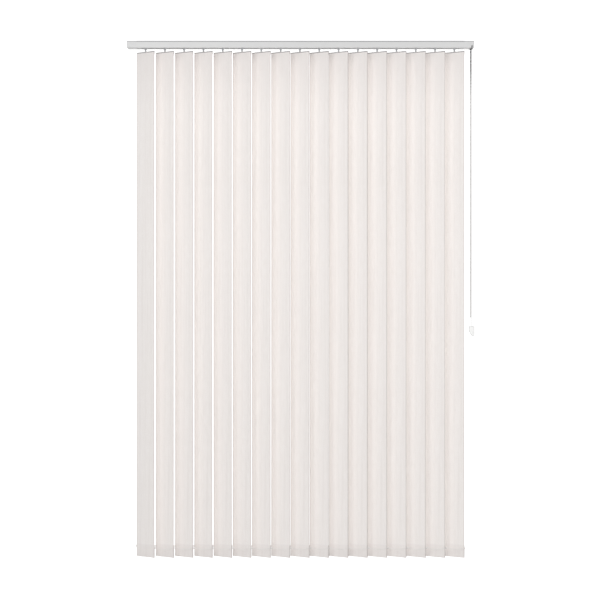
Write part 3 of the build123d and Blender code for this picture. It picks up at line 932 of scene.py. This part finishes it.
def beads_along(name, line, step, radius):
    """Copies one bead's mesh to every step along a line, in one piece."""
    bpy.ops.object.select_all(action="DESELECT")
    bpy.ops.mesh.primitive_ico_sphere_add(subdivisions=2, radius=radius)
    bead = bpy.context.object
    shape = [v.co.copy() for v in bead.data.vertices]
    faces = [tuple(p.vertices) for p in bead.data.polygons]
    bpy.data.objects.remove(bead)
    corners, panels = [], []
    run, due = 0.0, step / 2
    for a, b in zip(line, line[1:]):
        span = (b - a).length
        while span > 0 and due <= run + span:
            middle = a.lerp(b, (due - run) / span)
            first_corner = len(corners)
            corners += [middle + v for v in shape]
            panels += [tuple(first_corner + i for i in f) for f in faces]
            due += step
        run += span
    mesh = bpy.data.meshes.new(name)
    mesh.from_pydata(corners, [], panels)
    piece = bpy.data.objects.new(name, mesh)
    bpy.context.collection.objects.link(piece)
    mesh.shade_smooth()
    print(name, "beads", len(corners) // len(shape))
    return piece


chain_beads = beads_along("tilt_chain_beads", line, BEAD_STEP, CHAIN_BEAD)
settle(chain_beads, bead_finish, "root", ["tilt_chain"])
print("chain beads", len(chain_beads.data.polygons), "faces")

# %% [markdown]
# The traverse cord is one loop of braid. Inside the headrail it runs to the idle end, turns round
# the post there, and comes back lower down, through the carriers. It is guided all the way, so
# this run is a plain piece and not a free cord. It ends just inside the rail's underside.

# %% Traverse cord: the run in the rail
CORD = 2 * MM
CORD_X = 0.700
TURN_X = -0.695
SPLIT = RAIL_UNDERSIDE + 6 * MM
EASE = 12 * MM
UPPER, LOWER = ROD_Z + 4.5 * MM, ROD_Z - 5.5 * MM
rail_points = [
    (CORD_X, BACK_Y, SPLIT),
    (CORD_X, BACK_Y, UPPER),
    (CORD_X - EASE, BACK_Y, UPPER),
    (TURN_X + EASE, BACK_Y, UPPER),
    (TURN_X, BACK_Y, UPPER),
    (TURN_X, FRONT_Y, LOWER),
    (TURN_X + EASE, FRONT_Y, LOWER),
    (CORD_X - EASE, FRONT_Y, LOWER),
    (CORD_X, FRONT_Y, LOWER),
    (CORD_X, FRONT_Y, SPLIT - 1 * MM),
]
rail_cord, line = route("traverse_cord_in_rail", rail_points, CORD)
declare(rail_cord, cord_finish, ["traverse_cord"])
print("cord in the rail", round(length_of(line), 3), "m")

# %% [markdown]
# Below that end the two strands come down at the control end, into the cord's weight. It pulls
# them tight, so the hanging part is two straight runs with a small turn at the foot.

# %% Traverse cord: the hanging loop
CORD_FOOT = -1.187
FOOT_EASE = 14 * MM
cord_points = [
    (CORD_X, BACK_Y, SPLIT),
    (CORD_X, BACK_Y, CORD_FOOT + FOOT_EASE),
    (CORD_X, BACK_Y, CORD_FOOT),
    (CORD_X, FRONT_Y, CORD_FOOT),
    (CORD_X, FRONT_Y, CORD_FOOT + FOOT_EASE),
    (CORD_X, FRONT_Y, SPLIT),
]
hanging_cord, line = route("traverse_cord_loop", cord_points, CORD)
declare(hanging_cord, cord_finish, ["traverse_cord"])

# %% [markdown]
# The cord's weight is a small moulding with one lower corner cut away and both faces recessed
# inside a rim. Its outline makes a slab, and Inset makes the rim, because it keeps an even width
# round every corner.

# %% Cord weight: the block
TUG_LEFT = CORD_X - 12 * MM
TUG_RIGHT = TUG_LEFT + 22 * MM
TUG_TOP, TUG_FOOT = -1.164, -1.206
tug_outline = [
    (TUG_LEFT, TUG_TOP),
    (TUG_LEFT, TUG_FOOT + 20 * MM),
    (TUG_LEFT + 12 * MM, TUG_FOOT),
    (TUG_RIGHT, TUG_FOOT),
    (TUG_RIGHT, TUG_TOP),
]
TUG_DEPTH = 16 * MM
RIM_WIDTH, RECESS = 2.4 * MM, 0.7 * MM
tug = slab("cord_weight_body", tug_outline, TUG_DEPTH)
choose_faces(tug, lambda f: abs(f.normal.y) > 0.9)
bpy.ops.mesh.inset(thickness=RIM_WIDTH, depth=-RECESS)
bpy.ops.object.mode_set(mode="OBJECT")
soften(tug, 0.5 * MM, 3)
tug.data.transform(Matrix.Translation((0, TUG_Y, 0)))
print("block", round(TUG_RIGHT - TUG_LEFT, 4), "by", round(TUG_TOP - TUG_FOOT, 4))

# %% [markdown]
# The cord goes into the block from above, round a pulley. The slot for both is cut with a
# Boolean, since it crosses the softened top edge, where moving faces would leave a mess.

# %% Cord weight: the slot
SLOT_WIDE, SLOT_ACROSS, SLOT_DEEP = 6 * MM, 9.7 * MM, 28 * MM
SLOT_PROUD = 1 * MM
bpy.ops.object.select_all(action="DESELECT")
bpy.ops.mesh.primitive_cube_add(size=1)
cutter = bpy.context.object
cutter.data.transform(Matrix.Diagonal((SLOT_WIDE, SLOT_ACROSS, SLOT_DEEP, 1)))
cutter.data.transform(Matrix.Translation((CORD_X, TUG_Y, TUG_TOP - SLOT_DEEP / 2 + SLOT_PROUD)))
cut = tug.modifiers.new("cord_slot", "BOOLEAN")
cut.object = cutter
cut.operation = "DIFFERENCE"
cut.solver = "EXACT"
apply_modifiers(tug)
bpy.ops.object.shade_smooth_by_angle(angle=SMOOTH_ANGLE)
bpy.data.objects.remove(cutter)
settle(tug, tug_plastic, "root", ["cord_weight"])
print("block faces:", len(tug.data.polygons))

# %% [markdown]
# The pulley is a hub between two flanges, three plain cylinders turned to lie across the block.

# %% Pulley
PULLEY_Z = TUG_TOP - 20 * MM
HUB, FLANGE, FLANGE_THICK, PULLEY_HALF = 1.7 * MM, 2.9 * MM, 0.7 * MM, 2.6 * MM
pulley_parts = [cylinder("pulley", HUB, -PULLEY_HALF, PULLEY_HALF, 28)]
for low in (-PULLEY_HALF, PULLEY_HALF - FLANGE_THICK):
    pulley_parts.append(cylinder("flange", FLANGE, low, low + FLANGE_THICK, 28))
for part in pulley_parts:
    soften(part, 0.15 * MM, 1)
pulley = join("cord_weight_pulley", *pulley_parts)
across_x = Matrix.Rotation(math.pi / 2, 4, "Y")
pulley_place = Matrix.Translation((CORD_X, TUG_Y, PULLEY_Z)) @ across_x
settle(pulley, gear_plastic, "root", ["cord_weight"], pulley_place)
print("pulley at", round(PULLEY_Z, 4))

# %% [markdown]
# The blind is white, and so is the room. A backdrop that glows a little falls away to white, and
# a floor far below catches the view from the side. Both stand well clear of the blind, so that
# neither comes between it and a camera behind or below it.


# %% Floor and backdrop
FLOOR_Z, BACKDROP_Y = -6, 9


def studio_surface(name, tone, glow):
    finish = Finish(name, (tone, tone, tone), 0.9)
    finish.tint(finish.noise(2.0) * 0.1, (0.97 * tone, 0.97 * tone, 0.97 * tone))
    finish.shader.inputs["Emission Color"].default_value = (1, 1, 1, 1)
    finish.shader.inputs["Emission Strength"].default_value = glow
    return finish


def studio_plane(name, place, turn, finish, size=40):
    bpy.ops.object.select_all(action="DESELECT")
    bpy.ops.mesh.primitive_plane_add(size=size, location=place, rotation=turn)
    plane = bpy.context.object
    plane.name = name
    plane.data.materials.append(finish.material)
    return plane


studio_plane("floor", (0, 0, FLOOR_Z), (0, 0, 0), studio_surface("grey_floor", 0.6, 0.0))
upright = (math.pi / 2, 0, 0)
studio_plane("backdrop", (0, BACKDROP_Y, 0), upright, studio_surface("white_backdrop", 0.93, 0.75))
print("floor at", FLOOR_Z, "m, backdrop", BACKDROP_Y, "m behind")

# %% [markdown]
# Strong lamps would put hard shadows between the louvres. A white world gives most of the light,
# a large soft window light stands to the left behind the camera with a fill to the right, and a
# weak light from behind lifts the edges.

# %% Light
world = bpy.data.worlds.new("even_room")
bpy.context.scene.world = world
world.use_nodes = True
world.node_tree.nodes["Background"].inputs["Color"].default_value = (1, 1, 1, 1)
world.node_tree.nodes["Background"].inputs["Strength"].default_value = 0.64


def soft_light(name, place, aim, size, power):
    bpy.ops.object.select_all(action="DESELECT")
    turn = (Vector(aim) - Vector(place)).to_track_quat("-Z", "Y").to_euler()
    bpy.ops.object.light_add(type="AREA", location=place, rotation=turn)
    light = bpy.context.object
    light.name = name
    light.data.size = size
    light.data.energy = power
    return light


soft_light("window_light", (-1.8, -3.9, 0.1), (0, 0, -1.1), 2.6, 50)
soft_light("fill_light", (2.3, -3.9, -0.8), (0, 0, -1.2), 2.6, 48)
soft_light("back_light", (0.4, 1.6, 0.9), (0, 0.1, -0.4), 1.6, 12)

# %% [markdown]
# The looks must not change the size of the blind. The box of the construction was taken right
# after loading.

# %% The construction's box
low, high = cad_box
